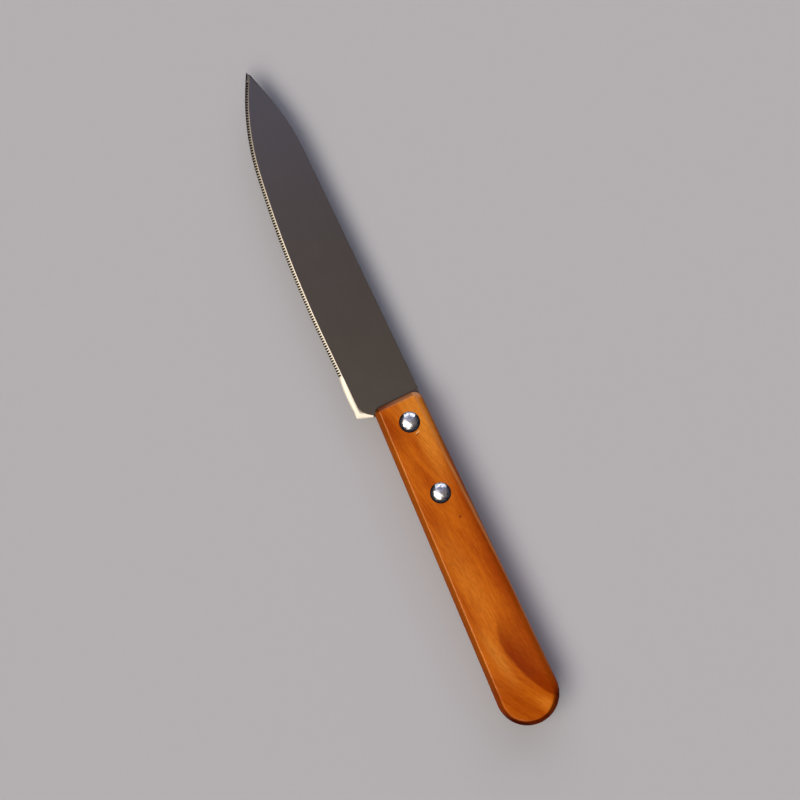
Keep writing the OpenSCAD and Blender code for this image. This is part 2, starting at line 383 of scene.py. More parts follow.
# %% Slices along the spine and round the shoulder
POINT_LEN = 30 * MM
SPINE_STEPS = 48
CORNER_STEPS = 12
point_r = (POINT_LEN**2 + TIP_DROP**2) / (2 * TIP_DROP)
point_turn = math.asin(POINT_LEN / point_r)
tip_axis = (point_turn - nose_turn) / 2
tip_inward = Vector((math.cos(tip_axis), math.sin(tip_axis)))
spine_slices = [bevel_slice(tip, tip_inward, GRIND_W, notch=TIP_BEVEL_W)]
for i in range(1, SPINE_STEPS + 1):
    a = point_turn * (1 - i / SPINE_STEPS)
    x = POINT_LEN - BLADE_LEN - point_r * math.sin(a)
    on_spine = Vector((x, point_r * (math.cos(a) - 1)))
    spine_slices.append(square_slice(on_spine, Vector((math.sin(a), -math.cos(a)))))

shoulder_slices = [square_slice(Vector((-SHOULDER_GAP, 0)), Vector((-1, -1)))]
for i in range(CORNER_STEPS):
    a = math.pi * (1 + i / CORNER_STEPS / 2)
    around = Vector((math.cos(a), math.sin(a)))
    shoulder_slices.append(square_slice(low_corner + shoulder_r * around, around))
print(f"{len(spine_slices)} slices along the spine, {len(shoulder_slices)} round the shoulder")

# %% [markdown]
# ## The blade in one piece
#
# Joining the slices in a ring gives a closed plate, with one many-sided face for
# each flat. The faces of a bevel turn by only a few degrees from one to the next,
# so on the blade a small angle already counts as a sharp edge. That keeps the
# teeth and the ground lines crisp.

# %% Join the slices
BLADE_SHARP = 6
blade_slices = heel_slices + tooth_slices + spine_slices + shoulder_slices + back_slices
per_slice = len(blade_slices[0])
slice_count = len(blade_slices)


def ring_index(i, k):
    return per_slice * (i % slice_count) + k


blade_faces = [
    (ring_index(i, k), ring_index(i + 1, k), ring_index(i + 1, k + 1), ring_index(i, k + 1))
    for i in range(slice_count)
    for k in range(per_slice - 1)
]
for k in (0, per_slice - 1):
    blade_faces.append(tuple(ring_index(i, k) for i in range(slice_count)))
blade = make_object("toothed_blade", sum(blade_slices, []), blade_faces, sharp=BLADE_SHARP)
print(f"blade ring: {slice_count} slices of {per_slice} points")

# %% [markdown]
# ## The handle's outline
#
# From the side the handle is three round corners joined by straight lines: two
# small ones at the front and a half round at the butt. Keeping the outward
# direction with every point makes it easy to draw the same outline again further
# in, which is what the rounded edges need.

# %% Outline of the handle, with the outward direction at each point
BUTT_W = 19.7 * MM
BACK_FALL = 0.4 * MM
BACK_CORNER_R = 2.8 * MM
FRONT_STEPS, BUTT_STEPS = 20, 72
butt_r = BUTT_W / 2
back_corner = Vector((BACK_CORNER_R, -BACK_CORNER_R))
butt_centre = Vector((HANDLE_LEN - butt_r, -BACK_FALL - butt_r))


def tangent_angle(corner, radius, side):
    """Heading of the straight line that touches a front corner and the butt."""
    along = butt_centre - corner
    return math.atan2(along.y, along.x) + side * math.asin((butt_r - radius) / along.length)


back_angle = tangent_angle(back_corner, BACK_CORNER_R, 1)
belly_angle = tangent_angle(low_corner, BELLY_CORNER_R, -1)
back_normal = math.pi / 2 + back_angle
belly_normal = belly_angle - math.pi / 2

outline = []
for centre, radius, start, end, steps in (
    (back_corner, BACK_CORNER_R, math.pi, back_normal, FRONT_STEPS),
    (butt_centre, butt_r, back_normal, belly_normal, BUTT_STEPS),
    (low_corner, BELLY_CORNER_R, belly_normal, -math.pi, FRONT_STEPS),
):
    for i in range(steps + 1):
        a = start + (end - start) * i / steps
        outward = Vector((math.cos(a), math.sin(a)))
        outline.append((centre + radius * outward, outward))
print(f"handle outline: {len(outline)} points")

# %% [markdown]
# ## Tang and rivet holes
#
# The tang is the same sheet of steel, ground a little thinner where it goes into
# the wood. It stays a set distance inside the handle's back and belly, and its end
# has round corners. It is a simple plate, so it is drawn as an outline, joined to
# the blade with a Boolean, and the rivet holes are drilled last.

# %% Outline of the tang, between the handle's sides
TANG_LEN = 40 * MM
TANG_T = 1.1 * MM
TANG_INSET = 0.3 * MM
TANG_R = 4 * MM


def line_y(corner, radius, angle, side):
    """Height of the back line (side 1) or the belly line (side -1), as a function of x."""
    touch = corner + side * radius * Vector((-math.sin(angle), math.cos(angle)))
    return lambda x: touch.y + (x - touch.x) * math.tan(angle)


back_y = line_y(back_corner, BACK_CORNER_R, back_angle, 1)
belly_y = line_y(low_corner, BELLY_CORNER_R, belly_angle, -1)
tang_back = back_y(TANG_LEN) - TANG_INSET - TANG_R
tang_belly = belly_y(TANG_LEN) + TANG_INSET + TANG_R
tang_outline = [Vector((-BELLY_CORNER_R, back_y(0) - TANG_INSET))]
for y, start in ((tang_back, math.pi / 2), (tang_belly, 0)):
    for i in range(CORNER_STEPS + 1):
        a = start - math.pi / 2 * i / CORNER_STEPS
        around = Vector((math.cos(a), math.sin(a)))
        tang_outline.append(Vector((TANG_LEN - TANG_R, y)) + TANG_R * around)
tang_outline += [
    Vector((BELLY_CORNER_R, -FRONT_W + TANG_INSET)),
    Vector((BELLY_CORNER_R / 2, -FRONT_W - TANG_INSET)),
    Vector((-BELLY_CORNER_R, -FRONT_W)),
]
print(f"tang outline: {len(tang_outline)} points")

# %% Join the tang and drill the rivet holes
FRONT_RIVET = Vector((8, -6.9)) * MM
REAR_RIVET = Vector((31.6, -7.7)) * MM
SHANK_D = 4.2 * MM
SHANK_GAP = 0.05 * MM
tang = prism("tang", tang_outline, -TANG_T / 2, TANG_T / 2)
combine(blade, [tang], "UNION", sharp=BLADE_SHARP)
holes = [circle(rivet, SHANK_D / 2 + SHANK_GAP) for rivet in (FRONT_RIVET, REAR_RIVET)]
drills = [prism("drill", hole, -BLADE_T, BLADE_T) for hole in holes]
combine(blade, drills, "DIFFERENCE", sharp=BLADE_SHARP)
print(f"blade with tang: {len(blade.data.polygons)} faces")

# %% [markdown]
# ## The handle's rounded edges
#
# The edges are sanded, but not to a plain quarter round. Along the belly the flat
# side ends in a crisp crest that catches the light, then the edge falls away in a
# broad, almost straight facet. Elsewhere the crest is rubbed soft. A bevel modifier
# can't give such an edge, so it is drawn: three arcs that turn from flat to upright
# make a crisp and a soft profile.

# %% Crisp and soft profiles of the edge
EDGE_R = 2.0 * MM
CRISP_R, SOFT_R = 0.8 * MM, 1.4 * MM
FOOT_R = 1.2 * MM
CREST_END, FOOT_START = 38, 62
ARC_STEPS = 8


def edge_profile(crest_r):
    """Pairs of inset and height from the upper flat to the lower flat, around the edge."""
    turns = [math.radians(a) for a in (0, CREST_END, FOOT_START, 90)]
    sines = [math.sin(a) for a in turns]
    facet_r = (EDGE_R - crest_r * sines[1] - FOOT_R * (1 - sines[2])) / (sines[2] - sines[1])
    points = [(EDGE_R, HANDLE_T / 2)]
    for radius, start, end in zip((crest_r, facet_r, FOOT_R), turns, turns[1:]):
        inset, height = points[-1]
        for i in range(1, ARC_STEPS + 1):
            a = start + (end - start) * i / ARC_STEPS
            out = radius * (math.sin(a) - math.sin(start))
            down = radius * (math.cos(start) - math.cos(a))
            points.append((inset - out, height - down))
    return points + [(inset, -height) for inset, height in reversed(points)]


crisp, soft = edge_profile(CRISP_R), edge_profile(SOFT_R)
print(f"edge profiles: {len(crisp)} points each")

# %% [markdown]
# ## The handle's block
#
# The outline is drawn once for every point of the profile, each time as far in and
# as high as that point says. The way the outline faces decides how the crisp and
# the soft profile are mixed. It also makes the rounding reach further in along the
# back, and less far at the front, where the blade enters.

# %% Rings of the handle from the upper flat to the lower flat
FRONT_SHARE, BACK_SHARE = 0.75, 1.35
BELLY_FACING, FRONT_FACING, BACK_FACING = (-0.99, -0.8), (0.5, 0.95), (0.3, 0.9)


def between(value, start, end):
    """Goes smoothly from 0 to 1 while the value goes from start to end."""
    t = min(max((value - start) / (end - start), 0), 1)
    return t * t * (3 - 2 * t)


rings = len(crisp)
ring = len(outline)
handle_points = []
for (crisp_inset, crisp_z), (soft_inset, soft_z) in zip(crisp, soft):
    for p, n in outline:
        softness = between(n.y, *BELLY_FACING)
        front, back = between(-n.x, *FRONT_FACING), between(n.y, *BACK_FACING)
        share = 1 + (FRONT_SHARE - 1) * front + (BACK_SHARE - 1) * back
        inset = crisp_inset + (soft_inset - crisp_inset) * softness
        handle_points.append((*(p - inset * share * n), crisp_z + (soft_z - crisp_z) * softness))
handle_faces = [
    (r * ring + i, r * ring + (i + 1) % ring, (r + 1) * ring + (i + 1) % ring, (r + 1) * ring + i)
    for r in range(rings - 1)
    for i in range(ring)
]
for r in (0, rings - 1):
    handle_faces.append(tuple(r * ring + i for i in range(ring)))
handle = make_object("wooden_handle", handle_points, handle_faces)
print(f"rounded edge: {rings} rings of {ring} points")

# %% [markdown]
# ## Saw slot, bores and counterbores
#
# The handle is one block, sawn open from the front for the tang. Two bores take
# the rivet shanks, and a shallow counterbore on each side lets the rivet heads
# sit down into the wood.

# %% Saw the slot and drill the handle
SLOT_T = 1.2 * MM
SLOT_LEN = 40.8 * MM
HEAD_D = 6.4 * MM
HEAD_GAP = 0.05 * MM
SEAT_H = 0.9 * MM
REACH = 1 * MM
seat_z = HANDLE_T / 2 - SEAT_H
slot_low = -BUTT_W - BACK_FALL - REACH
slot_outline = [(-REACH, slot_low), (SLOT_LEN, slot_low), (SLOT_LEN, REACH), (-REACH, REACH)]
cutters = [prism("saw", slot_outline, -SLOT_T / 2, SLOT_T / 2)]
for place in (FRONT_RIVET, REAR_RIVET):
    cutters.append(prism("bore", circle(place, SHANK_D / 2 + SHANK_GAP), -HANDLE_T, HANDLE_T))
    for side in (-1, 1):
        ends = sorted((side * seat_z, side * (HANDLE_T / 2 + REACH)))
        cutters.append(prism("counterbore", circle(place, HEAD_D / 2 + HEAD_GAP), *ends))
combine(handle, cutters, "DIFFERENCE")
print(f"handle: {len(handle.data.polygons)} faces")

# %% [markdown]
# ## Rivets
#
# Each rivet is two turned parts: a domed head with a hollow shank, and from the
# other side a domed head with a solid shank that is pressed into it. Turned parts
# are easiest to make as on a lathe: draw half of the section, then turn it round
# the axis.

# %% Lathe, and the two halves of a rivet
DOME_H = 1.3 * MM
POST_D = 3 * MM
POST_GAP = 0.02 * MM
SHANK_END_GAP = 0.3 * MM
RIM_R = 0.06 * MM
DOME_STEPS = 20
LATHE_STEPS = 96
head_r = HEAD_D / 2
dome_r = (head_r**2 + DOME_H**2) / (2 * DOME_H)
shank_len = 2 * seat_z - SHANK_END_GAP


def turn(name, section, place, upside):
    """Turns a section of (radius, height) points, which starts and ends on the axis."""
    points = [(*place, upside * section[k][1]) for k in (0, -1)]
    rows = []
    for radius, height in section[1:-1]:
        rows.append(len(points))
        for p in circle(place, radius, LATHE_STEPS):
            points.append((*p, upside * height))
    faces = []
    for i in range(LATHE_STEPS):
        j = (i + 1) % LATHE_STEPS
        faces.append((0, rows[0] + i, rows[0] + j))
        faces.append((1, rows[-1] + j, rows[-1] + i))
        faces += [(a + i, b + i, b + j, a + j) for a, b in zip(rows, rows[1:])]
    return make_object(name, points, faces)


def dome_section():
    """The domed head, from its crown to the wood and down to its seat."""
    top = HANDLE_T / 2 + DOME_H
    edge = math.asin((head_r - RIM_R) / dome_r)
    section = [(0, top)]
    for i in range(1, DOME_STEPS + 1):
        a = edge * i / DOME_STEPS
        section.append((dome_r * math.sin(a), top - dome_r * (1 - math.cos(a))))
    section.append((head_r - RIM_R / 4, section[-1][1] - RIM_R / 2))
    return section + [(head_r, HANDLE_T / 2 - RIM_R), (head_r, seat_z)]


bore_r = POST_D / 2 + POST_GAP
socket_section = dome_section() + [
    (SHANK_D / 2, seat_z),
    (SHANK_D / 2, seat_z - shank_len),
    (bore_r, seat_z - shank_len),
    (bore_r, seat_z),
    (0, seat_z),
]
post_section = dome_section() + [
    (POST_D / 2, seat_z),
    (POST_D / 2, seat_z - shank_len),
    (0, seat_z - shank_len),
]
rivets = {}
for end, place in (("front", FRONT_RIVET), ("rear", REAR_RIVET)):
    rivets[f"{end}_rivet_socket"] = turn(f"{end}_domed_socket", socket_section, place, 1)
    rivets[f"{end}_rivet_post"] = turn(f"{end}_domed_post", post_section, place, -1)
print(f"rivets: {len(rivets)} turned halves, dome radius {dome_r / MM:.2f} mm")

# %% [markdown]
# ## Building materials from nodes
#
# Every finish is a small network of shader nodes. A few helpers keep that readable:
# one adds a node and fills or links its inputs in one go, others do sums, smooth
# steps, mixes and noise, and one turns a colour as it is seen on a screen into the
# linear numbers that the renderer works with.

# %% Helpers for sums, steps and mixes
def add(tree, kind, inputs=None, **settings):
    node = tree.nodes.new(kind)
    for name, value in settings.items():
        setattr(node, name, value)
    for key, value in (inputs or {}).items():
        if isinstance(value, bpy.types.NodeSocket):
            tree.links.new(value, node.inputs[key])
        else:
            node.inputs[key].default_value = value
    return node


def calc(tree, operation, a, b=0.0):
    return add(tree, "ShaderNodeMath", {0: a, 1: b}, operation=operation).outputs[0]


def times(tree, a, b):
    return calc(tree, "MULTIPLY", a, b)


def plus(tree, a, b):
    return calc(tree, "ADD", a, b)


def minus(tree, a, b):
    return calc(tree, "SUBTRACT", a, b)


def larger(tree, a, b):
    return calc(tree, "MAXIMUM", a, b)


def vectors(tree, operation, a, b=(0, 0, 0)):
    return add(tree, "ShaderNodeVectorMath", {0: a, 1: b}, operation=operation).outputs


def ramp(tree, value, start, end, low=0.0, high=1.0):
    """Goes smoothly from low to high while the value goes from start to end."""
    limits = {"Value": value, "From Min": start, "From Max": end, "To Min": low, "To Max": high}
    node = add(tree, "ShaderNodeMapRange", limits, interpolation_type="SMOOTHSTEP")
    return node.outputs["Result"]


def blend(tree, factor, a, b, mode="MIX"):
    mixed = {0: factor, 6: a, 7: b}
    return add(tree, "ShaderNodeMix", mixed, data_type="RGBA", blend_type=mode).outputs[2]


def multiply_in(tree, mask, colour, tint):
    """Multiplies a colour by a tint where the mask is: for stains and for painted shade."""
    return blend(tree, mask, colour, blend(tree, 1.0, colour, tint, "MULTIPLY"))


# %% Helpers for places, noise, colours and whole materials
def split(tree, vector):
    return add(tree, "ShaderNodeSeparateXYZ", {0: vector}).outputs


def join(tree, x, y, z):
    return add(tree, "ShaderNodeCombineXYZ", {0: x, 1: y, 2: z}).outputs[0]


def noise(tree, vector, scale, detail, roughness):
    inputs = {"Vector": vector, "Scale": scale, "Detail": detail, "Roughness": roughness}
    return add(tree, "ShaderNodeTexNoise", inputs).outputs["Fac"]


def seen(*screen):
    """A colour given as it looks on a screen, 0 to 255, in linear light."""
    shares = [c / 255 for c in screen]
    linear = [c / 12.92 if c <= 0.04045 else ((c + 0.055) / 1.055) ** 2.4 for c in shares]
    return (*linear, 1.0)


def millimetres(tree):
    """The knife's own axes as texture coordinates, in millimetres."""
    place = add(tree, "ShaderNodeTexCoord").outputs["Object"]
    scaled = {0: place, "Scale": 1 / MM}
    return add(tree, "ShaderNodeVectorMath", scaled, operation="SCALE").outputs[0]


def new_material(name):
    material = bpy.data.materials.new(name)
    material.use_nodes = True
    tree = material.node_tree
    return material, tree, tree.nodes["Principled BSDF"]


def dress(tree, surface, colour, rough, height, strength, depth):
    """Links what varies over a surface: its colour, its roughness and a shallow relief."""
    bump = {"Strength": strength, "Distance": depth, "Height": height}
    relief = add(tree, "ShaderNodeBump", bump).outputs[0]
    for socket, value in {"Base Color": colour, "Roughness": rough, "Normal": relief}.items():
        tree.links.new(value, surface.inputs[socket])


# %% [markdown]
# ## Two effects that several finishes share
#
# Steel and varnish both carry faint marks from being handled, and both steels
# have the fine lines that polishing leaves. Each of these is a node group with
# named sockets, so one recipe serves several materials with different values.

# %% Node groups for handling marks and polishing lines
def new_group(name, inputs, outputs):
    group = bpy.data.node_groups.new(name, "ShaderNodeTree")
    for socket, value in inputs.items():
        kind = "NodeSocketVector" if value is None else "NodeSocketFloat"
        made = group.interface.new_socket(socket, in_out="INPUT", socket_type=kind)
        if value is not None:
            made.default_value = value
    for socket in outputs:
        group.interface.new_socket(socket, in_out="OUTPUT", socket_type="NodeSocketFloat")
    return group, add(group, "NodeGroupInput").outputs, add(group, "NodeGroupOutput").inputs


MARK_DETAIL, MARK_ROUGHNESS = 5.0, 0.62
MARK_FROM, MARK_FULL = 0.42, 0.68
HAIR_DETAIL, HAIR_ROUGHNESS = 3.0, 0.7
HAIR_FROM, HAIR_FULL = 0.3, 0.7

marks, given, result = new_group("handling marks", {"Place": None, "Size": 6.0}, ["Mask"])
spread = calc(marks, "DIVIDE", 1.0, given["Size"])
cloud = noise(marks, given["Place"], spread, MARK_DETAIL, MARK_ROUGHNESS)
marks.links.new(ramp(marks, cloud, MARK_FROM, MARK_FULL), result["Mask"])

scales = {"Place": None, "Across": 7.0, "Along": 0.12}
lines, given, result = new_group("polishing lines", scales, ["Lines", "Height"])
axes = split(lines, given["Place"])
drawn_out = times(lines, axes[0], given["Along"])
drawn = join(lines, drawn_out, times(lines, axes[1], given["Across"]), axes[2])
hair = noise(lines, drawn, 1.0, HAIR_DETAIL, HAIR_ROUGHNESS)
lines.links.new(ramp(lines, hair, HAIR_FROM, HAIR_FULL), result["Lines"])
lines.links.new(hair, result["Height"])
print("node groups:", marks.name, "and", lines.name)


def use_group(tree, group, **values):
    inputs = {name.capitalize(): value for name, value in values.items()}
    return add(tree, "ShaderNodeGroup", inputs, node_tree=group).outputs


# %% [markdown]
# ## Blade steel
#
# The blade is stainless sheet with a satin polish. It looks dark where it mirrors
# the dim room above and bright where the bevel mirrors a soft box, so the material
# itself is an even grey metal: the shading has to come from the light. Fine lines
# along the blade and a few handling marks change its tone and roughness.

# %% Satin steel
SATIN, SMUDGED_SATIN = seen(143, 137, 130), seen(140, 134, 127)
LINED_SATIN, LINED_SHARE = seen(131, 126, 120), 0.25
SATIN_ROUGH, SMUDGE_ROUGH, LINE_ROUGH = 0.175, 0.015, 0.03
LINE_RELIEF, LINE_DEPTH = 0.04, 0.02 * MM
steel, tree, surface = new_material("satin blade steel")
place = millimetres(tree)
smudged = use_group(tree, marks, place=place, size=9.0)["Mask"]
polish = use_group(tree, lines, place=place, across=6.0, along=0.05)
tone = blend(tree, smudged, SATIN, SMUDGED_SATIN)
tone = blend(tree, times(tree, polish["Lines"], LINED_SHARE), tone, LINED_SATIN)
rough = times(tree, smudged, SMUDGE_ROUGH)
rough = plus(tree, rough, times(tree, polish["Lines"], LINE_ROUGH))
rough = plus(tree, rough, SATIN_ROUGH)
dress(tree, surface, tone, rough, polish["Height"], LINE_RELIEF, LINE_DEPTH)
surface.inputs["Metallic"].default_value = 1.0
blade.data.materials.append(steel)
print("finish of the blade:", steel.name)

# %% [markdown]
# ## Dark steel in the notches and on the rim
#
# The notches are near-black: painted shade for the shadow down in the grooves. The
# sheared rim, which the polishing wheel never reached, gets the same dark and rough
# steel. All those faces, and no others, touch the middle of the steel's thickness,
# which makes them easy to find and give a finish of their own.

# %% Dark steel and painted notch shade, and the faces that have it
DARK_STEEL_AND_SHADE, STAINED_DARK_STEEL_AND_SHADE = seen(16, 13, 10), seen(9, 7, 5)
DARK_STEEL_ROUGH, STAIN_ROUGH = 0.5, 0.15
MIDDLE = 0.001 * MM
dark_steel_and_shade, tree, surface = new_material("dark steel and painted notch shade")
stained = use_group(tree, marks, place=millimetres(tree), size=0.8)["Mask"]
rough = plus(tree, times(tree, stained, STAIN_ROUGH), DARK_STEEL_ROUGH)
# The near-black tone is painted shade where it lies in the notches.
tree.links.new(blend(tree, stained, DARK_STEEL_AND_SHADE, STAINED_DARK_STEEL_AND_SHADE), surface.inputs["Base Color"])
tree.links.new(rough, surface.inputs["Roughness"])
surface.inputs["Metallic"].default_value = 1.0
blade.data.materials.append(dark_steel_and_shade)
dark_face_count = 0
for face in blade.data.polygons:
    touches = any(abs(blade.data.vertices[v].co.z) < MIDDLE for v in face.vertices)
    face.material_index = 1 if touches else 0
    dark_face_count += face.material_index
print(f"{dark_face_count} of {len(blade.data.polygons)} faces are dark steel and painted notch shade")

# %% [markdown]
# ## Polished rivets
#
# The rivet heads are brighter than the blade, nearly mirrors. They show the soft
# boxes, the window and the dark walls of the room as small shapes. The hammer that
# closed them left shallow dents, which break those shapes up, and their sides are
# spotted. The crowns are rubbed clean but scuffed, so they are the roughest. Where
# the dome meets the wood a dark ring is painted: painted shade and a painted
# reflection of the dark walls that the steep rim mirrors. So how clean, rough and
# shaded the steel is goes by the height above the wood.

# %% Polished steel
CLEAN, SPOTTED, RIM_SHADE = seen(234, 234, 238), seen(122, 121, 126), seen(52, 50, 54)
CROWN_FROM, CROWN_TOP, CROWN_SPOTS = 1.0, 1.3, 0.2
RIM_SHADE_FULL, RIM_SHADE_END, RIM_SHADE_SHARE = 0.12, 0.65, 0.8
SCUFF_FROM, SCUFF_FULL = 0.5, 1.05
RIM_ROUGH, CROWN_ROUGH, SPOT_ROUGH = 0.08, 0.26, 0.06
DENT_SCALE, DENT_DETAIL, DENT_ROUGHNESS = 1.5, 1.0, 0.4
DENT_RELIEF, DENT_DEPTH = 0.7, 0.1 * MM
chrome, tree, surface = new_material("polished rivet steel")
place = millimetres(tree)
smudged = use_group(tree, marks, place=place, size=0.7)["Mask"]
polish = use_group(tree, lines, place=place, across=9.0, along=1.5)
above_wood = minus(tree, calc(tree, "ABSOLUTE", split(tree, place)[2]), HANDLE_T / MM / 2)
spots = times(tree, smudged, ramp(tree, above_wood, CROWN_FROM, CROWN_TOP, 1.0, CROWN_SPOTS))
tone = blend(tree, spots, CLEAN, SPOTTED)
# Painted shade and painted reflection: a dark ring low on the dome, for the dark walls that the steep
# rim mirrors.
tone = blend(tree, ramp(tree, above_wood, RIM_SHADE_FULL, RIM_SHADE_END, RIM_SHADE_SHARE, 0.0), tone, RIM_SHADE)
rough = times(tree, smudged, SPOT_ROUGH)
rough = plus(tree, rough, times(tree, polish["Lines"], LINE_ROUGH))
rough = plus(tree, rough, ramp(tree, above_wood, SCUFF_FROM, SCUFF_FULL, RIM_ROUGH, CROWN_ROUGH))
dents = noise(tree, place, DENT_SCALE, DENT_DETAIL, DENT_ROUGHNESS)
dress(tree, surface, tone, rough, dents, DENT_RELIEF, DENT_DEPTH)
surface.inputs["Metallic"].default_value = 1.0
for half in rivets.values():
    half.data.materials.append(chrome)
print("finish of the rivets:", chrome.name)

# %% [markdown]
# ## Varnished wood: the figure
#
# The handle is orange-brown varnished wood. Its growth lines run along the handle
# and climb a little towards the back, and near the butt a darker figure spreads
# from the back with a clear curved border. Here the growth lines are the contours
# of one curve that is bent with a Float Curve node, and all the streaks are noise
# that is stretched along them. Such a node only gives values from 0 to 1, so both
# curves are drawn in shares of a length and a height.

# %% Growth lines and the border of the dark figure
LENGTH_MM, RISE_MM = 110.0, 25.0
CLIMB = [
    (0, 0), (20, 5), (40, 8.4), (60, 10), (78, 11),
    (88, 12.8), (96, 16.4), (103, 20.4), (110, 25),
]
BORDER = [
    (0, 18), (68, 17), (76, 14.9), (79.5, 13.9), (83.5, 13.8), (87.7, 14.7),
    (92.7, 16.2), (96, 17.6), (98.9, 19.2), (101.8, 21.2), (103.2, 22.4), (110, 25),
]
BORDER_BASE_MM = 25.0
wood, tree, surface = new_material("varnished wood")
place = millimetres(tree)
axes = split(tree, place)
along = calc(tree, "DIVIDE", axes[0], LENGTH_MM)


def curve_of(tree, value, points):
    """A smooth curve through points given in millimetres along and across the handle."""
    node = add(tree, "ShaderNodeFloatCurve", {"Value": value})
    line = node.mapping.curves[0].points
    placed = [(x / LENGTH_MM, y / RISE_MM) for x, y in points]
    line[0].location, line[-1].location = placed[0], placed[-1]
    for x, y in placed[1:-1]:
        line.new(x, y)
    node.mapping.update()
    return times(tree, node.outputs[0], RISE_MM)


growth = minus(tree, axes[1], curve_of(tree, along, CLIMB))
past_border = minus(tree, axes[1], curve_of(tree, along, BORDER))
past_border = plus(tree, past_border, BORDER_BASE_MM)
print(f"growth lines through {len(CLIMB)} points, border through {len(BORDER)}")

# %% [markdown]
# ## Varnished wood: streaks and fibres
#
# Four layers of stretched noise give broad light and dark streaks, finer lines,
# flecks and short dark pores. They are drawn in the bent coordinates, so all of
# them follow the growth lines. The broad streaks come first, and the fine layers
# go on later, over the light and dark places.

# %% Streaks, fibres, flecks and pores
GRAIN_ROUGHNESS = 0.55
THROUGH_SHARE = 3
DEEP_STREAK, LIGHT_STREAK, STREAK_RANGE = seen(180, 82, 8), seen(204, 106, 18), (0.32, 0.68)


def stretched(tree, along_scale, across_scale, detail, seed):
    """Noise drawn out along the growth lines, with scales in repeats per millimetre."""
    x = times(tree, axes[0], along_scale)
    y = times(tree, growth, across_scale)
    z = plus(tree, times(tree, axes[2], across_scale / THROUGH_SHARE), seed)
    return noise(tree, join(tree, x, y, z), 1.0, detail, GRAIN_ROUGHNESS)


streaks = stretched(tree, along_scale=0.045, across_scale=0.34, detail=3.0, seed=3.0)
fibres = stretched(tree, along_scale=0.11, across_scale=2.4, detail=4.0, seed=11.0)
flecks = stretched(tree, along_scale=0.5, across_scale=1.6, detail=4.0, seed=17.0)
pores = stretched(tree, along_scale=0.35, across_scale=5.0, detail=2.0, seed=23.0)
colour = blend(tree, ramp(tree, streaks, *STREAK_RANGE), DEEP_STREAK, LIGHT_STREAK)
print("wood: streaks, fibres, flecks and pores")

# %% [markdown]
# ## Varnished wood: light and dark places
#
# Sapwood and heartwood share this block, so some places are paler and others
# redder. A helper makes a soft oval mask from the distance to a place on the
# handle, and a few wide ovals that reach through the wood shift its tone. Painting
# them into an image would also work, but ovals stay smooth at any size.

# %% Soft ovals, and tints mixed in where they are
def near(tree, x, y, length, width, tilt, inner=0.6, outer=1.1, deep=0.5):
    """An oval around a place on the upper side; at deep 0 it reaches through the wood."""
    centred = vectors(tree, "SUBTRACT", place, (x, y, HANDLE_T / MM / 2))[0]
    spin = {"Vector": centred, "Angle": math.radians(-tilt)}
    turned = add(tree, "ShaderNodeVectorRotate", spin, rotation_type="Z_AXIS").outputs[0]
    scaled = vectors(tree, "MULTIPLY", turned, (2 / length, 2 / width, deep))[0]
    return ramp(tree, vectors(tree, "LENGTH", scaled)["Value"], inner, outer, 1.0, 0.0)


def touch_up(tree, colour, spots, **oval):
    """Mixes tints in at spots of x, y, length, width, tilt, tint and amount."""
    for x, y, length, width, tilt, tint, amount in spots:
        mask = near(tree, x, y, length, width, tilt, **oval)
        colour = blend(tree, times(tree, mask, amount), colour, tint)
    return colour


# %% Paler and redder places
PALE, RED = seen(230, 144, 50), seen(160, 64, 2)
tone_places = (
    (8, -3, 60, 11, -3, PALE, 0.8),
    (3, -6.5, 14, 9, 0, PALE, 0.45),
    (60, -12, 56, 10, 3, PALE, 0.3),
    (84, -13.6, 30, 6, 8, PALE, 0.6),
    (104, -6, 12, 6, 35, PALE, 0.3),
    (6, -13.5, 24, 8, 14, RED, 0.85),
    (57, -1.5, 94, 11, 0, RED, 0.9),
    (100, -13.5, 36, 12, 24, RED, 0.6),
)
colour = touch_up(tree, colour, tone_places, inner=0.1, outer=1.0, deep=0.0)
print(f"wood: {len(tone_places)} paler and redder places")

# %% [markdown]
# ## Varnished wood: dark figure and fine grain
#
# The dark figure near the butt has a crisp curved border, so its mask comes from
# the distance past that border. It fades out towards the front and further up.
# Over it go the fine layers of grain: fibres and flecks darken the wood like a
# thin stain, and pores are small dark dashes.

# %% Dark figure
FIGURE, FIGURE_SHARE = seen(143, 51, 0), 0.95
FIGURE_BORDER, FIGURE_ALONG = (-0.3, 0.9), (66.0, 88.0)
FIGURE_FADE, FADED_SHARE = (2.0, 9.0), 0.45
in_figure = ramp(tree, past_border, *FIGURE_BORDER)
in_figure = times(tree, in_figure, ramp(tree, axes[0], *FIGURE_ALONG))
in_figure = times(tree, in_figure, ramp(tree, past_border, *FIGURE_FADE, 1.0, FADED_SHARE))
colour = blend(tree, times(tree, in_figure, FIGURE_SHARE), colour, FIGURE)
print(f"wood: dark figure from {FIGURE_ALONG[0]:.0f} mm on")

# %% Fine grain over all of it
FIBRE_TINT, FIBRE_RANGE, FIBRE_SHARE = seen(214, 196, 160), (0.36, 0.66), 0.34
FLECK_TINT, FLECK_RANGE, FLECK_SHARE = seen(222, 208, 180), (0.4, 0.65), 0.42
PORE, PORE_RANGE, PORE_SHARE = seen(112, 44, 2), (0.62, 0.72), 0.35
colour = multiply_in(tree, ramp(tree, fibres, *FIBRE_RANGE, 0.0, FIBRE_SHARE), colour, FIBRE_TINT)
colour = multiply_in(tree, ramp(tree, flecks, *FLECK_RANGE, 0.0, FLECK_SHARE), colour, FLECK_TINT)
colour = blend(tree, times(tree, ramp(tree, pores, *PORE_RANGE), PORE_SHARE), colour, PORE)
print("wood: fibres, flecks and pores are over the figure")

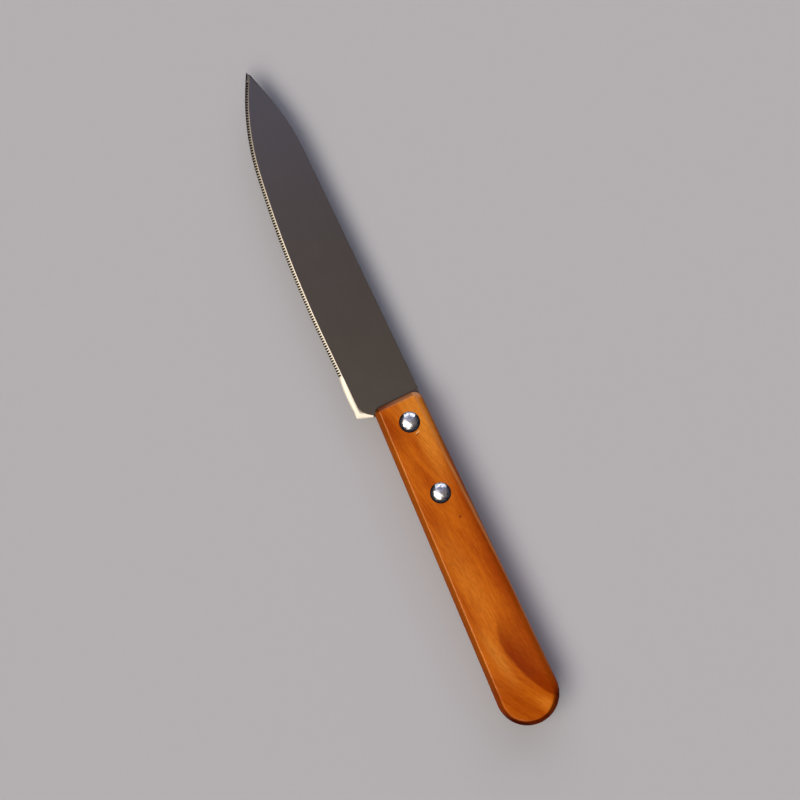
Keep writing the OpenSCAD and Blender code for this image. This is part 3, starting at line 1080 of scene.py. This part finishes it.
# %% [markdown]
# ## Varnished wood: knot and chip
#
# Two small things make this handle one of a kind: a pin knot behind the rear rivet,
# and a chip at the front rivet. The chip is a pale oval of painted highlight on the
# dent beside a darker oval of painted shade on its side. They are made with the
# same ovals, only small and not deep.

# %% Pin knot and chip
KNOT, CHIP_SHADE, CHIP_HIGHLIGHT = seen(110, 40, 2), seen(140, 56, 4), seen(232, 180, 120)
CHIP_TILT = 108
# The chip's pale oval is a painted highlight on the dent, and its darker oval is painted shade.
small_marks = (
    (40.7, -5.4, 1.0, 0.9, 0, KNOT, 0.7),
    (12.4, -6.3, 1.6, 0.6, CHIP_TILT, CHIP_SHADE, 0.6),
    (11.85, -6.0, 1.8, 0.5, CHIP_TILT, CHIP_HIGHLIGHT, 0.8),
)
colour = touch_up(tree, colour, small_marks)
print(f"wood: {len(small_marks)} small marks for knot and chip")

# %% [markdown]
# ## Varnished wood: shaded and stained edges
#
# The direction that the surface faces tells how far round the edge a point is.
# The belly's facet is darkened as painted shade, deeper towards the butt, and the
# rounded end of the butt most of all, as end-grain stain and painted shade. The
# front edge is darker too, and the outer side of the back near the front gets a
# greyish painted shade. The crest along the belly is paler: sanding took it down
# to fresh wood, and the paler tone is also a painted highlight.

# %% Masks from the way the surface faces
FACET_TILT, BELLY_SIDE = (0.9, 0.72), (-0.1, -0.35)
BUTT_SIDE, FRONT_SIDE = (0.05, 0.38), (-0.05, -0.85)
BACK_SIDE, BACK_ALONG = (0.6, 0.8), (60.0, 15.0)
CREST_SIDE, CREST_ALONG, CREST_SHARE = (-0.06, -0.2), (96.0, 86.0), 0.3
facing = split(tree, add(tree, "ShaderNodeNewGeometry").outputs["Normal"])
on_facet = ramp(tree, calc(tree, "ABSOLUTE", facing[2]), *FACET_TILT)
on_facet = times(tree, on_facet, ramp(tree, facing[1], *BELLY_SIDE))
end_grain = ramp(tree, facing[0], *BUTT_SIDE)
front_end = ramp(tree, facing[0], *FRONT_SIDE)
outer_back = times(tree, ramp(tree, facing[1], *BACK_SIDE), ramp(tree, axes[0], *BACK_ALONG))
crest = ramp(tree, facing[1], *CREST_SIDE, 0.0, CREST_SHARE)
crest = times(tree, crest, ramp(tree, axes[0], *CREST_ALONG))
print("wood: masks for crest, facet, back, butt and front")

# %% Pale crest with a painted highlight, painted shade and stained edges
FACET_SHADE, REAR_FACET_SHADE, REAR_ALONG = seen(188, 170, 112), seen(176, 154, 88), (50.0, 85.0)
BACK_SHADE, BUTT_STAIN_AND_SHADE, FRONT_TINT = seen(200, 196, 206), seen(138, 108, 62), seen(156, 147, 138)
# Paler crest: sanding wear and a painted highlight.
colour = blend(tree, crest, colour, PALE)
facet_shade = blend(tree, ramp(tree, axes[0], *REAR_ALONG), FACET_SHADE, REAR_FACET_SHADE)
# The facet and back tints are painted shade; the butt's tint is end-grain stain and painted shade.
stains_and_shade = (
    (on_facet, facet_shade),
    (outer_back, BACK_SHADE),
    (end_grain, BUTT_STAIN_AND_SHADE),
    (front_end, FRONT_TINT),
)
for mask, tint in stains_and_shade:
    colour = multiply_in(tree, mask, colour, tint)
print(f"wood: pale crest and {len(stains_and_shade)} stained and shaded edges")

# %% [markdown]
# ## Varnished wood: painted reflection and highlights
#
# A pale line along the back is a painted reflection of the window in the varnish.
# It starts on the inner side of the rounded edge at the front and slants over to
# the outer side further back, so the direction that it follows changes along the
# handle. The front corner and the front edge get a paler painted highlight as
# well. Only surfaces that face up get these painted lights.

# %% Painted reflection along the back
BACK_REFLECTION, REFLECTION_ALONG, REFLECTION_SHARE = seen(202, 128, 72), (100.0, 72.0), 0.85
LINE_START, LINE_SLANT, LINE_OUTER = 0.33, 0.0084, 0.88
LINE_FADE, STREAKED, STREAKED_SHARE = (0.16, 0.04), (0.3, 0.6), 0.6
UPPER_SIDE = (0.1, 0.4)
upper = ramp(tree, facing[2], *UPPER_SIDE)
line_at = plus(tree, times(tree, axes[0], LINE_SLANT), LINE_START)
line_at = calc(tree, "MINIMUM", line_at, LINE_OUTER)
off_line = calc(tree, "ABSOLUTE", minus(tree, facing[1], line_at))
painted_reflection = ramp(tree, off_line, *LINE_FADE)
painted_reflection = times(tree, painted_reflection, ramp(tree, streaks, *STREAKED, STREAKED_SHARE, 1.0))
painted_reflection = times(tree, painted_reflection, ramp(tree, axes[0], *REFLECTION_ALONG, 0.0, REFLECTION_SHARE))
# Painted reflection of the window in the varnish along the back.
colour = blend(tree, times(tree, painted_reflection, upper), colour, BACK_REFLECTION)
print(f"wood: rubbed line, gone at {REFLECTION_ALONG[0]:.0f} mm")

# %% Painted highlight on the front corner and front edge
FRONT_HIGHLIGHT, CORNER_SHARE, FRONT_EDGE_SHARE = seen(224, 160, 112), 0.65, 0.17
FRONT_EDGE_SIDE, FRONT_EDGE_UP = (-0.02, -0.3), (-13.0, -8.0)
front_corner = near(tree, 0.8, -1.4, 6, 3, 35, inner=0.2, outer=1.0, deep=0.0)
front_edge = ramp(tree, facing[0], *FRONT_EDGE_SIDE)
front_edge = times(tree, front_edge, ramp(tree, axes[1], *FRONT_EDGE_UP))
painted_highlight = times(tree, front_corner, CORNER_SHARE)
painted_highlight = larger(tree, painted_highlight, times(tree, front_edge, FRONT_EDGE_SHARE))
# Painted highlight on the front corner and along the front edge.
colour = blend(tree, times(tree, painted_highlight, upper), colour, FRONT_HIGHLIGHT)
print("wood: worn front corner and front edge")

# %% [markdown]
# ## Varnished wood: the varnish
#
# The varnish is the shader's coat, so the wood below it has no gloss of its own.
# The coat is thinner where it has soaked in or worn off: on the belly's facet, on
# the end grain and towards the butt.

# %% Varnish, and the finished wood
WOOD_ROUGH, HANDLED_ROUGH = 0.4, 0.1
FIBRE_RELIEF, FIBRE_DEPTH = 0.12, 0.05 * MM
FACET_DULL, BUTT_DULL, BUTT_ALONG = 0.55, 0.65, (90.0, 99.0)
FULL_COAT, THIN_COAT, COAT_ROUGH = 0.4, 0.06, 0.12
handled = use_group(tree, marks, place=place, size=7.0)["Mask"]
rough = plus(tree, times(tree, handled, HANDLED_ROUGH), WOOD_ROUGH)
dress(tree, surface, colour, rough, fibres, FIBRE_RELIEF, FIBRE_DEPTH)
dull = larger(tree, end_grain, times(tree, on_facet, FACET_DULL))
dull = larger(tree, dull, ramp(tree, axes[0], *BUTT_ALONG, 0.0, BUTT_DULL))
coat = ramp(tree, dull, 0.0, 1.0, FULL_COAT, THIN_COAT)
tree.links.new(coat, surface.inputs["Coat Weight"])
surface.inputs["Coat Roughness"].default_value = COAT_ROUGH
surface.inputs["Specular IOR Level"].default_value = 0.0
handle.data.materials.append(wood)
print(f"finish of the handle: {wood.name}, {len(tree.nodes)} nodes")

# %% [markdown]
# ## Tying the pieces to the solids
#
# Each piece is listed with the solid it stands for and the name of its finish in
# the part's record, which is only listed and not used. The piece moves with the
# knife's only body, and the solid it stands for is hidden.

# %% Riders and stand-ins
dressed = [(blade, "blade", "blade_steel"), (handle, "handle", "handle_wood")]
dressed += [(half, node, "rivet_steel") for node, half in rivets.items()]
for piece, node, slot in dressed:
    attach(piece, "root")
    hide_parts(node)
    print(piece.name, "stands for", node)

# %% [markdown]
# ## Floor
#
# A plain pale floor lies right under the rivet domes that the knife rests on. It
# is very wide, so that it also fills the picture in low side views.

# %% Pale floor
FLOOR_R = 30.0
FLOOR_TONE, FLOOR_ROUGH, FLOOR_GLOSS = seen(182, 182, 188), 0.9, 0.2
floor_mesh = bpy.data.meshes.new("floor")
signs = ((-1, -1), (1, -1), (1, 1), (-1, 1))
corners = [(sx * FLOOR_R, sy * FLOOR_R, cad_low.z) for sx, sy in signs]
floor_mesh.from_pydata(corners, [], [(0, 1, 2, 3)])
floor = bpy.data.objects.new("floor", floor_mesh)
bpy.context.scene.collection.objects.link(floor)
floor_paint, tree, surface = new_material("pale floor")
surface.inputs["Base Color"].default_value = FLOOR_TONE
surface.inputs["Roughness"].default_value = FLOOR_ROUGH
surface.inputs["Specular IOR Level"].default_value = FLOOR_GLOSS
floor_mesh.materials.append(floor_paint)
print(f"floor {2 * FLOOR_R:.0f} m wide")

# %% [markdown]
# ## Camera
#
# The picture was taken from straight above, about half a metre away, with the
# knife lying across it at a slant. Turning the camera about the vertical gives
# that slant, and the lens follows from how much of the floor the square shows.

# %% Camera straight above the knife
CAMERA_TURN = math.radians(64.42)
CAMERA_MID = Vector((1.9, 4.0, 7.0)) * MM
CAMERA_RISE = 500 * MM
VIEW_WIDTH = 246.5 * MM
SENSOR = 36.0
camera_data = bpy.data.cameras.new("camera")
camera_data.sensor_width = SENSOR
camera_data.lens = SENSOR * CAMERA_RISE / VIEW_WIDTH
camera = bpy.data.objects.new("camera", camera_data)
camera.location = CAMERA_MID + Vector((0, 0, CAMERA_RISE))
camera.rotation_euler = (0, 0, CAMERA_TURN)
bpy.context.scene.collection.objects.link(camera)
bpy.context.scene.camera = camera
print(f"camera lens {camera_data.lens:.1f} mm")

# %% [markdown]
# ## Light
#
# A wide warm soft box stands on the side of the cutting edge, so the bevel mirrors
# it, and a small one beside it does the same for the curved nose. A cooler window
# lies beyond the tip. The ceiling is dim, warm above the handle and bluish beyond
# the tip, which is what the flat of the blade mirrors, and the walls are darker
# still, which gives the rivets their dark rims. Polished steel shows the shape of
# every light, and lamps have hard outlines, so the whole room is painted on the
# world as soft patches of sky.

# %% Directions in the picture, and the sky
PICTURE_RIGHT = Vector((math.cos(CAMERA_TURN), math.sin(CAMERA_TURN), 0))
PICTURE_UP = Vector((-math.sin(CAMERA_TURN), math.cos(CAMERA_TURN), 0))
UPRIGHT = Vector((0, 0, 1))
DEGREES_PER_HOUR = 30


def towards(clock, lean):
    """Direction at an hour of the clock in the picture, leaning from the vertical in degrees."""
    turned, tipped = math.radians(DEGREES_PER_HOUR * clock), math.radians(lean)
    flat = math.cos(turned) * PICTURE_UP + math.sin(turned) * PICTURE_RIGHT
    return math.sin(tipped) * flat + math.cos(tipped) * UPRIGHT


world = bpy.data.worlds.new("dim room")
world.use_nodes = True
bpy.context.scene.world = world
tree = world.node_tree
sky = add(tree, "ShaderNodeTexCoord").outputs["Generated"]
height = split(tree, sky)[2]
print("sky of the world:", world.name)

# %% Soft patches of sky
SOFTNESS = 0.1
LEVEL_LEAN = 90
QUARTER = 3


def facing_share(clock, lean):
    """How far a direction of the sky points towards an hour of the clock."""
    return vectors(tree, "DOT_PRODUCT", sky, towards(clock, lean))["Value"]


def soft_box(clock, ahead, half_width, low, high):
    """A soft-edged patch: beyond a distance ahead, within a width, between two heights."""
    front = ramp(tree, facing_share(clock, LEVEL_LEAN), ahead - SOFTNESS, ahead + SOFTNESS)
    aside = calc(tree, "ABSOLUTE", facing_share(clock + QUARTER, LEVEL_LEAN))
    side = ramp(tree, aside, half_width + SOFTNESS, half_width - SOFTNESS)
    above = ramp(tree, height, low - SOFTNESS, low + SOFTNESS)
    below = ramp(tree, height, high + SOFTNESS, high - SOFTNESS)
    return times(tree, times(tree, front, side), times(tree, above, below))


# %% The room: ceiling, walls, soft boxes and window
TIP_CLOCK, TIP_LEAN = 11.5, 80
WALLS, CEILING = (0.058, 0.06, 0.07, 1), (0.222, 0.186, 0.173, 1)
WALL_TOP, CEILING_FROM = 0.4, 0.9
ceiling_bands = (
    (0.12, 0.26, (0.168, 0.138, 0.127, 1)),
    (0.25, 0.42, (0.285, 0.3, 0.47, 1)),
    (0.5, 0.66, (0.36, 0.37, 0.52, 1)),
)
lights = {
    "soft box": (soft_box(7.32, ahead=0.24, half_width=0.46, low=0.62, high=1.2), (4.05, 3.81, 3.31, 1)),
    "nose box": (soft_box(8.95, ahead=0.52, half_width=0.23, low=0.64, high=1.2), (2.4, 2.12, 1.7, 1)),
    "window": (soft_box(12.0, ahead=0.45, half_width=0.58, low=0.12, high=0.6), (1.65, 1.73, 1.93, 1)),
}
beyond = facing_share(TIP_CLOCK, TIP_LEAN)
ceiling = CEILING
for start, end, tint in ceiling_bands:
    ceiling = blend(tree, ramp(tree, beyond, start, end), ceiling, tint)
room = blend(tree, ramp(tree, height, WALL_TOP, CEILING_FROM), WALLS, ceiling)
for patch, glow in lights.values():
    room = blend(tree, patch, room, glow, "ADD")
tree.links.new(room, tree.nodes["Background"].inputs["Color"])
bpy.context.scene.view_settings.view_transform = "Standard"
print("lights:", ", ".join(lights))
